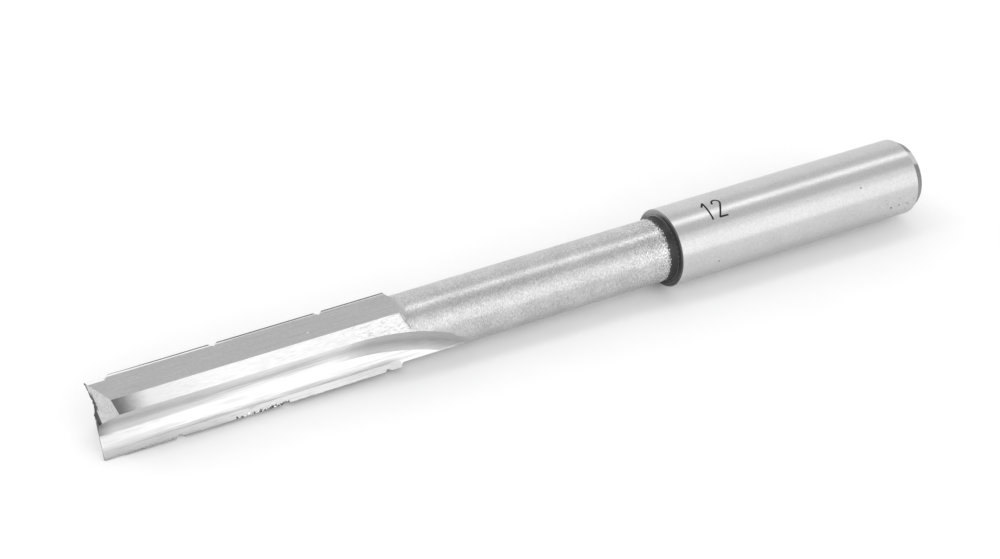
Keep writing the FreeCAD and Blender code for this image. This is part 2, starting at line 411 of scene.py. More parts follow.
def make_turning():
    """Fine rings round the axis, as a lathe leaves them on a faced end."""
    tree, start, end = new_group("turning", [("Pitch", FLOAT, 0.0002)], [("Rings", FLOAT)])
    place = add(tree, "ShaderNodeTexCoord").outputs["Object"]
    flat = add(tree, "ShaderNodeVectorMath", {0: place, 1: (0.0, 1.0, 1.0)}, operation="MULTIPLY")
    radius = add(tree, "ShaderNodeVectorMath", {0: flat.outputs[0]}, operation="LENGTH").outputs["Value"]
    count = math_node(tree, "DIVIDE", radius, start["Pitch"])
    values = {"W": count, "Scale": 1.0, "Detail": 2.0}
    rings = add(tree, "ShaderNodeTexNoise", values, noise_dimensions="1D")
    tree.links.new(rings.outputs["Fac"], end["Rings"])
    return tree


def make_across():
    """The place across a flat that faces the given angle, from the line
    nearest the axis towards the heel; the same for both edges' flats."""
    tree, start, end = new_group("across", [("Angle", FLOAT, 0.0)], [("Across", FLOAT)])
    place = add(tree, "ShaderNodeTexCoord").outputs["Object"]
    back = math_node(tree, "SUBTRACT", CLEARANCE_ANGLE, start["Angle"])
    level = add(tree, "ShaderNodeVectorRotate", {"Vector": place, "Angle": back}, rotation_type="X_AXIS")
    parts = add(tree, "ShaderNodeSeparateXYZ", {0: level.outputs[0]})
    side = math_node(tree, "SIGN", parts.outputs["Z"])
    behind = math_node(tree, "MULTIPLY", parts.outputs["Y"], side)
    tree.links.new(math_node(tree, "MULTIPLY", behind, -1.0), end["Across"])
    return tree


GRINDING = make_grinding()
STREAKS = make_streaks()
SPECKS = make_specks()
RAGGED_STEP = make_ragged_step()
TURNING = make_turning()
ACROSS = make_across()


def use(tree, group, **inputs):
    """Places a node group; underscores in the input names stand for spaces."""
    node = add(tree, "ShaderNodeGroup", node_tree=group)
    for name, value in inputs.items():
        socket_set(tree, node.inputs[name.replace("_", " ")], value)
    return node.outputs


class Steel:
    def __init__(self, name, lines_round, stretch, bump):
        self.material = bpy.data.materials.new(name)
        self.material.use_nodes = True
        self.tree = self.material.node_tree
        self.tree.nodes.clear()
        self.lines_round = lines_round
        self.stretch = stretch
        self.bump = bump

    def grind(self, **values):
        marks = use(self.tree, GRINDING, **values)
        self.tone = marks["Tone"]
        self.roughness = marks["Roughness"]
        self.height = marks["Height"]

    def cover(self, mask, level, roughness, share=1.0):
        """Lays another grey and roughness over the steel where the mask is 1."""
        mask = math_node(self.tree, "MULTIPLY", mask, share)
        self.tone = mix_colour(self.tree, mask, self.tone, grey(level))
        self.roughness = between(self.tree, mask, 0.0, 1.0, self.roughness, roughness, smooth=False)

    def sink(self, mask, depth):
        """Lowers the surface where the mask is 1."""
        sunk = math_node(self.tree, "MULTIPLY", mask, depth)
        self.height = math_node(self.tree, "SUBTRACT", self.height, sunk)

    def rings(self, pitch):
        """The marks of turning, as noise."""
        return use(self.tree, TURNING, Pitch=pitch)["Rings"]

    def raise_by(self, height):
        self.height = math_node(self.tree, "ADD", self.height, height)

    def along(self):
        place = add(self.tree, "ShaderNodeTexCoord").outputs["Object"]
        return add(self.tree, "ShaderNodeSeparateXYZ", {0: place}).outputs["X"]

    def towards(self, angle):
        """How far out from the axis a place lies, in one direction."""
        place = add(self.tree, "ShaderNodeTexCoord").outputs["Object"]
        values = {0: place, 1: round_place(0.0, angle, 1.0)}
        return add(self.tree, "ShaderNodeVectorMath", values, operation="DOT_PRODUCT").outputs["Value"]

    def across(self, angle):
        return use(self.tree, ACROSS, Angle=angle)["Across"]

    def step(self, where, start, stop, raggedness=0.0, grain=(0.001, 0.001, 0.001)):
        """A mask that rises from 0 to 1 between two values of a coordinate."""
        values = {"Along": where, "From": start, "To": stop, "Raggedness": raggedness, "Grain": grain}
        return use(self.tree, RAGGED_STEP, **values)["Mask"]

    def below(self, where, start, stop, raggedness=0.0, grain=(0.001, 0.001, 0.001)):
        """A mask that falls from 1 to 0 between two values of a coordinate."""
        beyond = self.step(where, start, stop, raggedness, grain)
        return math_node(self.tree, "SUBTRACT", 1.0, beyond)

    def near_tip(self, start, stop, raggedness=0.8 * MM, grain=(0.003, 0.0003, 0.0003)):
        """A mask that is 1 at the tip and fades out along the bit."""
        return self.below(self.along(), TIP_X + start, TIP_X + stop, raggedness, grain)

    def both(self, first, second):
        """The mask of what lies in two masks."""
        return math_node(self.tree, "MULTIPLY", first, second)

    def specks(self, spacing, size, share):
        return use(self.tree, SPECKS, Spacing=spacing, Spot_Size=size, Share=share)["Mask"]

    def streaks(self, size, low, high):
        return use(self.tree, STREAKS, Size=size, Low=low, High=high)["Mask"]

    def finish(self):
        surface = add(self.tree, "ShaderNodeBsdfPrincipled")
        surface.inputs["Metallic"].default_value = 1.0
        surface.inputs["Anisotropic"].default_value = self.stretch
        surface.inputs["Anisotropic Rotation"].default_value = 0.25 if self.lines_round else 0.0
        tangent = add(self.tree, "ShaderNodeTangent", direction_type="RADIAL", axis="X")
        bump = add(self.tree, "ShaderNodeBump", {"Height": self.height, "Distance": self.bump})
        socket_set(self.tree, surface.inputs["Base Color"], self.tone)
        socket_set(self.tree, surface.inputs["Roughness"], self.roughness)
        socket_set(self.tree, surface.inputs["Tangent"], tangent.outputs[0])
        socket_set(self.tree, surface.inputs["Normal"], bump.outputs[0])
        output = add(self.tree, "ShaderNodeOutputMaterial")
        self.tree.links.new(surface.outputs[0], output.inputs["Surface"])
        return self.material


def even(size):
    """The same size along X, Y and Z."""
    return (size, size, size)


def lengthwise(length, width):
    """Marks that run along the bit."""
    return (length, width, width)


def shank_steel():
    steel = Steel("shank_steel", lines_round=True, stretch=0.85, bump=0.004 * MM)
    steel.grind(
        Bright=grey(0.72),
        Dull=grey(0.48),
        Mark_Size=(0.12 * MM, 0.3 * MM, 0.3 * MM),
        Patch_Size=even(6 * MM),
        Line_Contrast=1.6,
        Patch_Contrast=0.3,
        Smooth=0.28,
        Rough=0.40,
    )
    steel.cover(steel.specks(1.6 * MM, size=0.05, share=0.25), 0.25, roughness=0.6)
    return steel.finish()


def neck_steel():
    steel = Steel("neck_steel", lines_round=True, stretch=0.85, bump=0.010 * MM)
    steel.grind(
        Bright=grey(0.82),
        Dull=grey(0.33),
        Mark_Size=(0.11 * MM, 0.36 * MM, 0.36 * MM),
        Patch_Size=even(4 * MM),
        Line_Contrast=1.7,
        Patch_Contrast=0.4,
        Smooth=0.34,
        Rough=0.50,
    )
    grain = even(0.35 * MM)
    coarse = steel.step(steel.along(), SHOULDER_X - 14 * MM, SHOULDER_X - 2 * MM, 3 * MM, even(2 * MM))
    flecks = steel.streaks((0.13 * MM, 0.34 * MM, 0.34 * MM), low=0.55, high=0.62)
    steel.cover(steel.both(coarse, flecks), 0.95, roughness=0.25, share=0.8)
    dull_spots = steel.streaks((0.14 * MM, 0.36 * MM, 0.36 * MM), low=0.45, high=0.38)
    steel.cover(steel.both(coarse, dull_spots), 0.25, roughness=0.5, share=0.75)
    scale = steel.step(steel.along(), SHOULDER_X - 1.9 * MM, SHOULDER_X - 1.3 * MM, 1.4 * MM, grain)
    steel.cover(scale, 0.085, roughness=0.55)
    steel.sink(scale, 3.0)
    return steel.finish()


def shoulder_steel():
    steel = Steel("shoulder_steel", lines_round=True, stretch=0.3, bump=0.01 * MM)
    steel.grind(
        Bright=grey(0.17),
        Dull=grey(0.055),
        Mark_Size=even(0.3 * MM),
        Patch_Size=even(3 * MM),
        Line_Contrast=1.0,
        Patch_Contrast=0.7,
        Smooth=0.38,
        Rough=0.55,
    )
    # Lighter towards the upper side of the ring: partly bare steel, partly a painted highlight.
    bare_and_highlight = steel.step(steel.towards(radians(8)), 4.8 * MM, 6.3 * MM, 0.8 * MM, even(1.2 * MM))
    steel.cover(bare_and_highlight, 0.34, roughness=0.45)
    rings = steel.rings(pitch=0.2 * MM)
    steel.cover(between(steel.tree, rings, low=0.52, high=0.66), 0.42, roughness=0.4, share=0.6)
    steel.raise_by(rings)
    return steel.finish()


def turned_steel(name, bright, dull, pitch, wear_and_highlight=None):
    """A turned end; the last argument gives the two angles between which it is bright, a painted highlight
    laid in as wear.
    """
    steel = Steel(name, lines_round=True, stretch=0.4, bump=0.006 * MM)
    steel.grind(
        Bright=grey(bright),
        Dull=grey(dull),
        Mark_Size=even(0.3 * MM),
        Patch_Size=even(2.5 * MM),
        Line_Contrast=0.8,
        Patch_Contrast=0.8,
        Smooth=0.3,
        Rough=0.5,
    )
    # Between the two angles the steel is lighter: a painted highlight.
    if wear_and_highlight:
        border = (-0.3 * MM, 0.4 * MM, 0.5 * MM)
        past_first = steel.step(steel.towards(wear_and_highlight[0] + QUARTER_TURN), *border)
        before_last = steel.step(steel.towards(wear_and_highlight[1] - QUARTER_TURN), *border)
        steel.cover(steel.both(past_first, before_last), 0.66, roughness=0.4)
    steel.raise_by(steel.rings(pitch))
    return steel.finish()


def chamfer_steel():
    # The bright stretch of the chamfer ring: a painted highlight of a lamp's glint, laid in as wear.
    wear_and_highlight = (radians(54), radians(78))
    return turned_steel("chamfer_steel", bright=0.30, dull=0.18, pitch=0.15 * MM, wear_and_highlight=wear_and_highlight)


def shank_end_steel():
    return turned_steel("shank_end_steel", bright=0.6, dull=0.45, pitch=0.25 * MM)


def flat_steel(
    name,
    bright,
    dull,
    smooth,
    rough,
    contrast=2.0,
    patch=0.5,
    length=6 * MM,
    width=0.09 * MM,
    patch_size=lengthwise(12 * MM, 2 * MM),
):
    """A flat with its grinding lines along the bit."""
    steel = Steel(name, lines_round=False, stretch=0.85, bump=0.004 * MM)
    steel.grind(
        Bright=grey(bright),
        Dull=grey(dull),
        Mark_Size=lengthwise(length, width),
        Patch_Size=patch_size,
        Line_Contrast=contrast,
        Patch_Contrast=patch,
        Smooth=smooth,
        Rough=rough,
    )
    return steel


def clearance_steel():
    steel = flat_steel(
        "clearance_steel",
        bright=0.62,
        dull=0.32,
        smooth=0.30,
        rough=0.42,
        contrast=1.3,
        patch=0.9,
        length=7 * MM,
        width=0.06 * MM,
        patch_size=lengthwise(0.7 * MM, 0.12 * MM),
    )
    steel.cover(steel.specks(3.2 * MM, size=0.035, share=0.2), 0.95, roughness=0.3)
    across = steel.across(CLEARANCE_ANGLE)
    uneven = lengthwise(2 * MM, 0.3 * MM)
    # A bright band along the first edge, full near the tip: partly wear, partly a painted highlight where
    # the edge catches light.
    wear_and_highlight = steel.below(across, -3.36 * MM, -3.28 * MM, 0.08 * MM, uneven)
    steel.cover(wear_and_highlight, 1.0, roughness=0.3, share=0.4)
    steel.cover(steel.both(wear_and_highlight, steel.near_tip(18 * MM, 26 * MM)), 1.0, roughness=0.3)
    bright = steel.below(across, -2.80 * MM, -2.70 * MM, 0.1 * MM, uneven)
    corner = steel.near_tip(FIRST_NOTCH - 0.4 * MM, FIRST_NOTCH, 0.0)
    steel.cover(steel.both(bright, corner), 1.0, roughness=0.3)
    # A thin dark line on the flat along the first edge, from past the first notch on.
    dark_edge_line = steel.below(across, -3.60 * MM, -3.52 * MM, 0.06 * MM, uneven)
    past_notch = steel.step(steel.along(), TIP_X + FIRST_NOTCH, TIP_X + FIRST_NOTCH + 9 * MM)
    steel.cover(steel.both(dark_edge_line, past_notch), 0.08, roughness=0.5)
    return steel.finish()


def rise_steel():
    """The slopes in which the clearance and heel flats end."""
    steel = flat_steel(
        "rise_steel", bright=0.60, dull=0.42, smooth=0.5, rough=0.6, contrast=1.6, length=1 * MM
    )
    return steel.finish()


def heel_steel():
    steel = flat_steel(
        "heel_steel",
        bright=1.0,
        dull=0.82,
        smooth=0.36,
        rough=0.46,
        contrast=2.2,
        length=1.6 * MM,
        width=0.16 * MM,
    )
    scores = steel.streaks(lengthwise(2.5 * MM, 0.10 * MM), low=0.60, high=0.72)
    steel.cover(scores, 0.6, roughness=0.4, share=0.5)
    grazed = steel.step(steel.along(), STEP_X - 14 * MM, STEP_X - 6 * MM)
    flecks = steel.streaks(lengthwise(0.7 * MM, 0.2 * MM), low=0.54, high=0.60)
    steel.cover(steel.both(grazed, flecks), 0.6, roughness=0.45, share=0.7)
    steel.cover(steel.near_tip(3.0 * MM, 20 * MM), 0.62, roughness=0.4, share=0.55)
    steel.cover(steel.near_tip(2.2 * MM, 8.0 * MM, 1.2 * MM, even(0.5 * MM)), 0.16, roughness=0.42)
    return steel.finish()


def floor_steel():
    steel = flat_steel(
        "floor_steel", bright=1.0, dull=0.86, smooth=0.34, rough=0.44, contrast=1.2, length=8 * MM
    )
    waves = steel.streaks(lengthwise(14 * MM, 0.5 * MM), low=0.52, high=0.66)
    steel.cover(waves, 0.68, roughness=0.4, share=0.6)
    across = steel.across(QUARTER_TURN - FLOOR_ANGLE)
    # Darker towards the crease by the rake facet, before the end of the cut: painted shade of a rounding
    # there.
    crease = steel.below(across, -4.95 * MM, -3.8 * MM, 0.7 * MM, lengthwise(3 * MM, 0.3 * MM))
    before_end = steel.below(steel.along(), STEP_X - 3 * MM, STEP_X + 1 * MM)
    steel.cover(steel.both(crease, before_end), 0.43, roughness=0.4, share=0.95)
    lines = steel.streaks(lengthwise(6 * MM, 0.16 * MM), low=0.48, high=0.60)
    beside_facet = steel.both(steel.below(across, -4.6 * MM, -3.6 * MM), before_end)
    steel.cover(steel.both(beside_facet, lines), 0.30, roughness=0.4, share=0.4)
    steel.cover(steel.near_tip(1.0 * MM, 12 * MM), 0.70, roughness=0.4, share=0.5)
    beside_wall = steel.step(across, -3.4 * MM, -2.0 * MM, 1.2 * MM, lengthwise(4 * MM, 0.4 * MM))
    fan = steel.both(beside_wall, steel.near_tip(3 * MM, 16 * MM))
    flecks = steel.streaks(lengthwise(5 * MM, 0.28 * MM), low=0.44, high=0.58)
    steel.cover(steel.both(fan, flecks), 0.38, roughness=0.4, share=0.85)
    return steel.finish()


def rake_steel():
    steel = flat_steel(
        "rake_steel", bright=1.0, dull=0.80, smooth=0.34, rough=0.46, contrast=2.0, length=3 * MM
    )
    scores = steel.streaks(lengthwise(2.5 * MM, 0.15 * MM), low=0.54, high=0.66)
    steel.cover(scores, 0.5, roughness=0.5, share=0.5)
    steel.cover(steel.near_tip(6 * MM, 34 * MM, 4 * MM), 0.55, roughness=0.45, share=0.6)
    across = steel.across(QUARTER_TURN - RAKE_FACET_ANGLE)
    outer = steel.below(across, -5.7 * MM, -4.6 * MM, 0.5 * MM, lengthwise(2 * MM, 0.2 * MM))
    outer = steel.both(outer, steel.near_tip(8 * MM, 34 * MM, 4 * MM))
    steel.cover(outer, 0.22, roughness=0.45, share=0.35)
    edge = steel.below(across, -5.66 * MM, -5.5 * MM, 0.3 * MM, lengthwise(1 * MM, 0.2 * MM))
    steel.cover(edge, 0.28, roughness=0.5, share=0.8)
    return steel.finish()


def wall_surface(name):
    """The steel of the wall between the gullets, and of what follows it."""
    steel = flat_steel(name, bright=0.88, dull=0.64, smooth=0.34, rough=0.46, contrast=1.4, length=10 * MM)
    waves = steel.streaks(lengthwise(16 * MM, 0.4 * MM), low=0.48, high=0.62)
    steel.cover(waves, 0.5, roughness=0.4, share=0.6)
    steel.cover(steel.near_tip(2 * MM, 30 * MM, 6 * MM), 0.5, roughness=0.4, share=0.85)
    steel.cover(steel.near_tip(-1 * MM, 3.2 * MM), 0.16, roughness=0.45, share=0.9)
    return steel


def wall_steel():
    return wall_surface("wall_steel").finish()


def gullet_steel():
    steel = wall_surface("gullet_steel")
    running_out = steel.step(steel.along(), STEP_X - 12 * MM, STEP_X - 4 * MM, 3 * MM)
    steel.cover(running_out, 0.40, roughness=0.45, share=0.75)
    return steel.finish()


def land_steel():
    steel = flat_steel("land_steel", bright=0.2, dull=0.1, smooth=0.3, rough=0.4)
    steel.cover(steel.near_tip(FIRST_NOTCH - 0.1 * MM, FIRST_NOTCH, 0.0), 0.9, roughness=0.3)
    return steel.finish()


def rim_steel():
    return flat_steel("rim_steel", bright=0.75, dull=0.5, smooth=0.3, rough=0.42).finish()


def end_steel(name="end_steel", bright=0.78, dull=0.46):
    """The end faces, with the dark lip that wear has left on the first tooth."""
    steel = flat_steel(
        name,
        bright=bright,
        dull=dull,
        smooth=0.34,
        rough=0.48,
        contrast=1.6,
        length=0.25 * MM,
        width=0.25 * MM,
    )
    steel.cover(steel.specks(1.1 * MM, size=0.05, share=0.3), 0.25, roughness=0.5)
    behind = steel.towards(QUARTER_TURN - FLOOR_ANGLE)
    outwards = steel.towards(0.0)
    grain = even(0.4 * MM)
    lip = steel.both(
        steel.step(behind, 0.9 * MM, 1.2 * MM, 0.3 * MM, grain),
        steel.below(behind, 1.35 * MM, 1.75 * MM, 0.5 * MM, grain),
    )
    stretch = steel.both(
        steel.step(outwards, 1.2 * MM, 1.7 * MM),
        steel.below(outwards, 3.4 * MM, 4.5 * MM),
    )
    steel.cover(steel.both(lip, stretch), 0.10, roughness=0.5, share=0.95)
    return steel.finish()


def broken_steel(name, level, rough):
    """Burnt, pitted or broken steel: one level, with a grain of its own."""
    lighter, darker, spread = 1.6, 0.6, 0.1
    steel = Steel(name, lines_round=True, stretch=0.0, bump=0.01 * MM)
    steel.grind(
        Bright=grey(level * lighter),
        Dull=grey(level * darker),
        Mark_Size=even(0.06 * MM),
        Patch_Size=even(0.5 * MM),
        Line_Contrast=1.2,
        Patch_Contrast=0.8,
        Smooth=rough - spread,
        Rough=rough + spread,
    )
    return steel.finish()


ZONE_STEELS = {
    "shank": shank_steel,
    "neck": neck_steel,
    "shoulder": shoulder_steel,
    "chamfer": chamfer_steel,
    "shank_end": shank_end_steel,
    "clearance": clearance_steel,
    "rise": rise_steel,
    "heel": heel_steel,
    "floor": floor_steel,
    "rake": rake_steel,
    "wall": wall_steel,
    "gullet": gullet_steel,
    "land": land_steel,
    "rim": rim_steel,
    "end": end_steel,
    "end_land": lambda: end_steel("end_land_steel", bright=0.12, dull=0.05),
    "mark": lambda: broken_steel("mark_steel", level=0.035, rough=0.6),
    "pit": lambda: broken_steel("pit_steel", level=0.10, rough=0.6),
    "chip": lambda: broken_steel("chip_steel", level=0.11, rough=0.45),
    "flake": lambda: broken_steel("flake_steel", level=0.70, rough=0.35),
    "crumb": lambda: broken_steel("crumb_steel", level=0.85, rough=0.3),
}
ZONES = list(ZONE_STEELS)
STEELS = {zone: make() for zone, make in ZONE_STEELS.items()}


def new_piece(name, data):
    piece = bpy.data.objects.new(name, data)
    bpy.context.scene.collection.objects.link(piece)
    return piece


def made_mesh(holder):
    """The object's mesh with its modifiers carried out; the object goes."""
    depsgraph = bpy.context.evaluated_depsgraph_get()
    data = bpy.data.meshes.new_from_object(holder.evaluated_get(depsgraph))
    bpy.data.objects.remove(holder)
    return data


def plain_mesh(mesh, name):
    """The edited mesh as a plain one; the edited one goes."""
    data = bpy.data.meshes.new(name)
    mesh.to_mesh(data)
    mesh.free()
    return data


def zoned_solid():
    """A copy of the solid's mesh, with each face's ground surface noted."""
    mesh = bmesh.new()
    mesh.from_mesh(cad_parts[NODE].data)
    bmesh.ops.remove_doubles(mesh, verts=mesh.verts, dist=0.002 * MM)
    for face in mesh.faces:
        face.material_index = ZONES.index(zone_of(face))
    return plain_mesh(mesh, "bit_body")


def in_pieces(path):
    """The path with its long runs divided, so that it follows the round bar."""
    points = [path[0]]
    for start, stop in zip(path, path[1:]):
        count = math.ceil((stop - start).length / STROKE_PIECE)
        points += [start.lerp(stop, (index + 1) / count) for index in range(count)]
    return points


def figure_one():
    """The strokes of a 1, as points along the bit and down round it."""
    top = Vector((0.60 * MM, 0.0))
    return [
        [Vector((0.0, 0.77 * MM)), top],
        [top, Vector((0.62 * MM, 3.56 * MM))],
    ]


def figure_two():
    """The strokes of a 2: the bowl with its slanting stem, and the foot."""
    middle = Vector((2.82 * MM, 0.75 * MM))
    radius = 0.73 * MM
    steps = 14
    sweep = radians(198)
    bowl = []
    for index in range(steps + 1):
        turned = sweep * index / steps
        bowl.append(middle + radius * Vector((-cos(turned), -sin(turned))))
    foot_start = Vector((2.05 * MM, 3.52 * MM))
    return [
        bowl + [foot_start],
        [foot_start, Vector((3.53 * MM, 3.56 * MM))],
    ]


def cut_stroke(mesh, path):
    """Adds a closed bar that follows the stroke, half above the shank."""
    last = len(path) - 1
    rings = []
    for index, point in enumerate(path):
        heading = (path[min(index + 1, last)] - path[max(index - 1, 0)]).normalized()
        aside = Vector((-heading.y, heading.x)) * STROKE_WIDTH / 2
        reach = {0: -1, last: 1}.get(index, 0) * heading * STROKE_WIDTH / 3
        ring = []
        for side, lift in ((1, 1), (-1, 1), (-1, -1), (1, -1)):
            spot = point + reach + side * aside
            angle = MARK_ANGLE + spot.y / SHANK_RADIUS
            radius = SHANK_RADIUS + lift * STROKE_DEPTH
            ring.append(mesh.verts.new(round_place(MARK_X + spot.x, angle, radius)))
        rings.append(ring)
    mesh.faces.new(rings[0])
    mesh.faces.new(rings[-1][::-1])
    for near, far in zip(rings, rings[1:]):
        for corner in range(4):
            after = (corner + 1) % 4
            mesh.faces.new((near[after], near[corner], far[corner], far[after]))


def strokes():
    mesh = bmesh.new()
    for path in figure_one() + figure_two():
        cut_stroke(mesh, in_pieces(path))
    bmesh.ops.recalc_face_normals(mesh, faces=mesh.faces)
    for face in mesh.faces:
        face.material_index = ZONES.index("mark")
    return plain_mesh(mesh, "size_mark")


def dents():
    mesh = bmesh.new()
    for x, angle, distance, radius, zone in DENTS:
        done = set(mesh.faces)
        sunk = Matrix.Translation(round_place(x, angle, distance + DENT_RISE * radius))
        bmesh.ops.create_icosphere(mesh, subdivisions=2, radius=radius, matrix=sunk)
        for face in mesh.faces:
            if face not in done:
                face.material_index = ZONES.index(zone)
    return plain_mesh(mesh, "dents")


def make_scatter():
    """Strews small lumps over a surface: their number per square metre, their
    smallest and largest radius, and how flat they lie."""
    tree, start, end = new_group(
        "scatter",
        [
            ("Surface", "NodeSocketGeometry", None),
            ("Density", FLOAT, 1e6),
            ("Smallest", FLOAT, 0.00005),
            ("Largest", FLOAT, 0.0001),
            ("Flatness", FLOAT, 0.5),
            ("Seed", "NodeSocketInt", 1),
            ("Finish", "NodeSocketMaterial", None),
        ],
        [("Lumps", "NodeSocketGeometry")],
        MESH_TREE,
    )
    strewn = add(
        tree,
        "GeometryNodeDistributePointsOnFaces",
        {"Mesh": start["Surface"], "Density": start["Density"], "Seed": start["Seed"]},
    )
    lump = add(tree, "GeometryNodeMeshIcoSphere", {"Radius": 1.0, "Subdivisions": 1})
    size = add(
        tree,
        "FunctionNodeRandomValue",
        {0: start["Smallest"], 1: start["Largest"], "Seed": start["Seed"]},
        data_type="FLOAT_VECTOR",
    )
    flat = add(tree, "ShaderNodeCombineXYZ", {"X": 1.0, "Y": 1.0, "Z": start["Flatness"]})
    values = {0: size.outputs[0], 1: flat.outputs[0]}
    scale = add(tree, "ShaderNodeVectorMath", values, operation="MULTIPLY")
    placed = add(
        tree,
        "GeometryNodeInstanceOnPoints",
        {
            "Points": strewn.outputs["Points"],
            "Instance": lump.outputs["Mesh"],
            "Rotation": strewn.outputs["Rotation"],
            "Scale": scale.outputs[0],
        },
    )
    real = add(tree, "GeometryNodeRealizeInstances", {0: placed.outputs[0]})
    dressing = {"Geometry": real.outputs[0], "Material": start["Finish"]}
    finished = add(tree, "GeometryNodeSetMaterial", dressing)
    tree.links.new(finished.outputs[0], end["Lumps"])
    return tree


SCATTER = make_scatter()


def sheet_of(rows):
    """An open sheet through rows of points."""
    width = len(rows[0])
    points = [point for row in rows for point in row]
    faces = []
    for row in range(len(rows) - 1):
        for column in range(width - 1):
            first = row * width + column
            faces.append((first, first + 1, first + width + 1, first + width))
    data = bpy.data.meshes.new("strewn_place")
    data.from_pydata(points, [], faces)
    return data


def round_sheet(start_x, stop_x, radius, start_angle=0.0, stop_angle=FULL_TURN):
    """An open sheet that follows a stretch of the round bar."""
    steps = 48
    angles = [start_angle + (stop_angle - start_angle) * index / steps for index in range(steps + 1)]
    return sheet_of([[round_place(x, angle, radius) for angle in angles] for x in (start_x, stop_x)])


def edge_sheet(start_x, stop_x, width):
    """A narrow open strip behind the second cutting edge, on its facet."""
    inner_u = -EDGE_RADIUS + width * cos(RAKE_FACET_ANGLE)
    inner_v = -width * sin(RAKE_FACET_ANGLE)
    rows = []
    for x in (start_x, stop_x):
        rows.append([section_place(x, -EDGE_RADIUS, 0.0), section_place(x, inner_u, inner_v)])
    return sheet_of(rows)


def lip_sheet(width):
    """A narrow open strip on the end face, behind the first tooth's lip."""
    facet_u = EDGE_RADIUS - RAKE_FACET_WIDTH * cos(RAKE_FACET_ANGLE)
    facet_v = RAKE_FACET_WIDTH * sin(RAKE_FACET_ANGLE)
    inner_u = 2 * MM
    inner_v = facet_v + (facet_u - inner_u) * math.tan(FLOOR_ANGLE)
    rows = []
    for u, v in ((EDGE_RADIUS, 0.0), (facet_u, facet_v), (inner_u, inner_v)):
        x = TIP_X + (EDGE_RADIUS - u) * math.tan(DISH_ANGLE)
        behind = x + width * math.tan(END_LAND_ANGLE)
        rows.append([section_place(x, u, v), section_place(behind, u, v + width)])
    return sheet_of(rows)


def strew(surface, zone, **values):
    """The lumps that the scatter tree lays on a surface, as a plain mesh."""
    holder = new_piece("strewn_" + zone, surface)
    modifier = holder.modifiers.new("scatter", "NODES")
    modifier.node_group = SCATTER
    values["Finish"] = STEELS[zone]
    for item in SCATTER.interface.items_tree:
        if item.in_out == "INPUT" and item.name in values:
            modifier[item.identifier] = values[item.name]
    data = made_mesh(holder)
    for face in data.polygons:
        face.material_index = ZONES.index(zone)
    return data


def gathered(name, parts):
    """One mesh out of several, which keep the noted surfaces of their faces."""
    mesh = bmesh.new()
    for part in parts:
        mesh.from_mesh(part)
    return plain_mesh(mesh, name)


def hollows():
    """All that is sunk into the steel: the mark, pits, and the chips that the
    second edge and the first tooth's lip have lost."""
    ring_start = SHOULDER_X - 2.3 * MM
    ring_stop = SHOULDER_X - 0.5 * MM
    return [
        strokes(),
        dents(),
        strew(
            round_sheet(ring_start, ring_stop, NECK_RADIUS),
            "pit", Density=2.2e6, Smallest=0.05 * MM, Largest=0.14 * MM, Flatness=0.5, Seed=3,
        ),
        strew(
            round_sheet(-9 * MM, -2 * MM, SHANK_RADIUS, radians(118), radians(160)),
            "pit", Density=3.4e5, Smallest=0.05 * MM, Largest=0.13 * MM, Flatness=0.5, Seed=5,
        ),
        strew(
            edge_sheet(TIP_X + 21.5 * MM, TIP_X + 30.5 * MM, 0.35 * MM),
            "chip", Density=0.8e7, Smallest=0.08 * MM, Largest=0.36 * MM, Flatness=0.8, Seed=7,
        ),
        strew(
            edge_sheet(TIP_X + 22.5 * MM, TIP_X + 30 * MM, 0.55 * MM),
            "flake", Density=0.5e7, Smallest=0.12 * MM, Largest=0.40 * MM, Flatness=0.8, Seed=8,
        ),
        strew(
            lip_sheet(0.2 * MM),
            "chip", Density=1.6e7, Smallest=0.08 * MM, Largest=0.32 * MM, Flatness=0.8, Seed=9,
        ),
        strew(
            edge_sheet(TIP_X + 0.3 * MM, TIP_X + 13 * MM, 0.3 * MM),
            "chip", Density=1.3e7, Smallest=0.03 * MM, Largest=0.10 * MM, Flatness=0.6, Seed=10,
        ),
        strew(
            edge_sheet(TIP_X + 1 * MM, STEP_X - 1 * MM, 0.06 * MM),
            "chip", Density=1.0e7, Smallest=0.03 * MM, Largest=0.10 * MM, Flatness=0.8, Seed=11,
        ),
    ]


def cut_away(data, tools):
    """The mesh with everything in the tools' mesh taken out of it."""
    body = new_piece("uncut", data)
    cutter = new_piece("cutter", tools)
    cut = body.modifiers.new("cut", "BOOLEAN")
    cut.operation = "DIFFERENCE"
    cut.solver = "EXACT"
    cut.use_self = True
    cut.object = cutter
    result = made_mesh(body)
    bpy.data.objects.remove(cutter)
    return result


def in_one_body(data):
    """The mesh's largest connected part alone: what the chips cut loose goes."""
    mesh = bmesh.new()
    mesh.from_mesh(data)
    left = set(mesh.verts)
    islands = []
    while left:
        island = [left.pop()]
        for vertex in island:
            for edge in vertex.link_edges:
                other = edge.other_vert(vertex)
                if other in left:
                    left.remove(other)
                    island.append(other)
        islands.append(island)
    islands.sort(key=len)
    loose = [vertex for island in islands[:-1] for vertex in island]
    bmesh.ops.delete(mesh, geom=loose, context="VERTS")
    mesh.to_mesh(data)
    mesh.free()
    return data


def crumbs():
    """Bright crumbs of steel along the ragged border of the neck's scale."""
    band = round_sheet(SHOULDER_X - 2.4 * MM, SHOULDER_X - 1.3 * MM, NECK_RADIUS)
    return strew(band, "crumb", Density=5e6, Smallest=0.05 * MM, Largest=0.13 * MM, Flatness=0.5, Seed=13)


